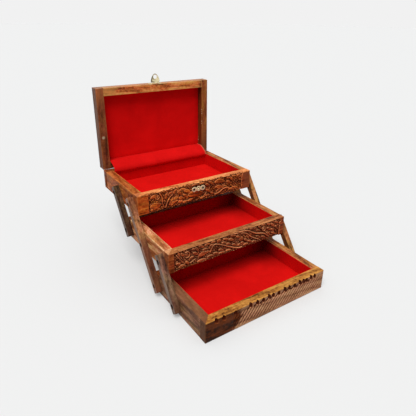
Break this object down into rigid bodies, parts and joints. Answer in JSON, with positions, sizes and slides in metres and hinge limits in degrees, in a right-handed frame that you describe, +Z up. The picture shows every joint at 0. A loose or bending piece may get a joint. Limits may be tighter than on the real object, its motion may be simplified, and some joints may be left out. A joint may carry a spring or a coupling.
{
  "type": "cantilever jewellery box",
  "caption": "Carved wooden jewellery box opened up: velvet-lined trays stepping back and up on swinging side arms, with a hinged lid raised behind the top tray and a small brass hasp.",
  "frame": {"origin": "centre of the bottom tray's underside, in the plane it stands on", "axes": "+X to the viewer's right along the carved fronts, +Y from the front to the rear, the way the raised trays step back, +Z up"},
  "size_m": [0.2216, 0.3219, 0.2738],
  "materials": {
    "box_wood": "oiled and waxed carved hardwood",
    "arm_wood": "oiled hardwood, darker",
    "floor_board": "plain thin board",
    "velvet": "red velvet with a short pile",
    "brass": "thin plated sheet, slightly worn",
    "screws": "darkened steel"
  },
  "bodies": {
    "bottom_tray": {"bottom_tray_front": "box_wood", "bottom_tray_back": "box_wood", "bottom_tray_left": "box_wood", "bottom_tray_right": "box_wood", "bottom_tray_floor": "floor_board", "bottom_tray_floor_pad": "velvet", "bottom_tray_wall_lining": "velvet", "bottom_tray_pivot_screws": "screws"},
    "middle_tray": {"middle_tray_front": "box_wood", "middle_tray_back": "box_wood", "middle_tray_left": "box_wood", "middle_tray_right": "box_wood", "middle_tray_floor": "floor_board", "middle_tray_floor_pad": "velvet", "middle_tray_wall_lining": "velvet", "middle_tray_pivot_screws": "screws"},
    "top_tray": {"top_tray_front": "box_wood", "top_tray_back": "box_wood", "top_tray_left": "box_wood", "top_tray_right": "box_wood", "top_tray_floor": "floor_board", "top_tray_floor_pad": "velvet", "top_tray_wall_lining": "velvet", "top_tray_pivot_screws": "screws", "hasp_keeper": "brass", "keeper_nails": "brass", "left_hinge_tray_leaf": "brass", "right_hinge_tray_leaf": "brass", "left_hinge_pin": "brass", "right_hinge_pin": "brass", "tray_hinge_nails": "brass", "lid_hinge_cloth": "velvet"},
    "lid": {"lid_front_rail": "box_wood", "lid_rear_rail": "box_wood", "lid_left_rail": "box_wood", "lid_right_rail": "box_wood", "lid_panel": "box_wood", "lid_lining": "velvet", "left_hinge_lid_leaf": "brass", "right_hinge_lid_leaf": "brass", "lid_hinge_nails": "brass", "hasp_base": "brass", "hasp_pin": "brass", "hasp_nails": "brass"},
    "hasp_flap": {"hasp_flap": "brass"},
    "long_arm_left": {"long_arm_left": "arm_wood"},
    "long_arm_right": {"long_arm_right": "arm_wood"},
    "front_arm_left": {"front_arm_left": "arm_wood"},
    "front_arm_right": {"front_arm_right": "arm_wood"},
    "rear_arm_left": {"rear_arm_left": "arm_wood"},
    "rear_arm_right": {"rear_arm_right": "arm_wood"}
  },
  "joints": [
    {"name": "tier_swing", "type": "hinge", "parent": "bottom_tray", "child": "long_arm_left", "pos_m": [0, 0.052, 0.015], "axis": [1, 0, 0], "range_deg": [-23.6, 95.6]},
    {"name": "middle_tray_pivot", "type": "hinge", "parent": "long_arm_left", "child": "middle_tray", "pos_m": [0, 0.0874, 0.06373], "axis": [1, 0, 0], "range_deg": [-95.6, 23.6]},
    {"name": "top_tray_pivot", "type": "hinge", "parent": "long_arm_left", "child": "top_tray", "pos_m": [0, 0.12281, 0.11246], "axis": [1, 0, 0], "range_deg": [-95.6, 23.6]},
    {"name": "long_arm_right_pivot", "type": "hinge", "parent": "bottom_tray", "child": "long_arm_right", "pos_m": [0, 0.052, 0.015], "axis": [1, 0, 0], "range_deg": [-23.6, 95.6]},
    {"name": "front_arm_left_pivot", "type": "hinge", "parent": "bottom_tray", "child": "front_arm_left", "pos_m": [0, 0, 0.015], "axis": [1, 0, 0], "range_deg": [-23.6, 95.6]},
    {"name": "front_arm_right_pivot", "type": "hinge", "parent": "bottom_tray", "child": "front_arm_right", "pos_m": [0, 0, 0.015], "axis": [1, 0, 0], "range_deg": [-23.6, 95.6]},
    {"name": "rear_arm_left_pivot", "type": "hinge", "parent": "middle_tray", "child": "rear_arm_left", "pos_m": [0, 0.13941, 0.06373], "axis": [1, 0, 0], "range_deg": [-23.6, 95.6]},
    {"name": "rear_arm_right_pivot", "type": "hinge", "parent": "middle_tray", "child": "rear_arm_right", "pos_m": [0, 0.13941, 0.06373], "axis": [1, 0, 0], "range_deg": [-23.6, 95.6]},
    {"name": "lid_swing", "type": "hinge", "parent": "top_tray", "child": "lid", "pos_m": [0, 0.23986, 0.12754], "axis": [1, 0, 0], "range_deg": [0, 90], "deforming": ["lid_hinge_cloth"]},
    {"name": "hasp_flap_swing", "type": "hinge", "parent": "lid", "child": "hasp_flap", "pos_m": [0, 0.24053, 0.25879], "axis": [1, 0, 0], "range_deg": [-55, 90]}
  ],
  "couplings": [
    {"joint": "middle_tray_pivot", "follows": "tier_swing", "ratio": -1},
    {"joint": "top_tray_pivot", "follows": "tier_swing", "ratio": -1},
    {"joint": "long_arm_right_pivot", "follows": "tier_swing", "ratio": 1},
    {"joint": "front_arm_left_pivot", "follows": "tier_swing", "ratio": 1},
    {"joint": "front_arm_right_pivot", "follows": "tier_swing", "ratio": 1},
    {"joint": "rear_arm_left_pivot", "follows": "tier_swing", "ratio": 1},
    {"joint": "rear_arm_right_pivot", "follows": "tier_swing", "ratio": 1}
  ]
}
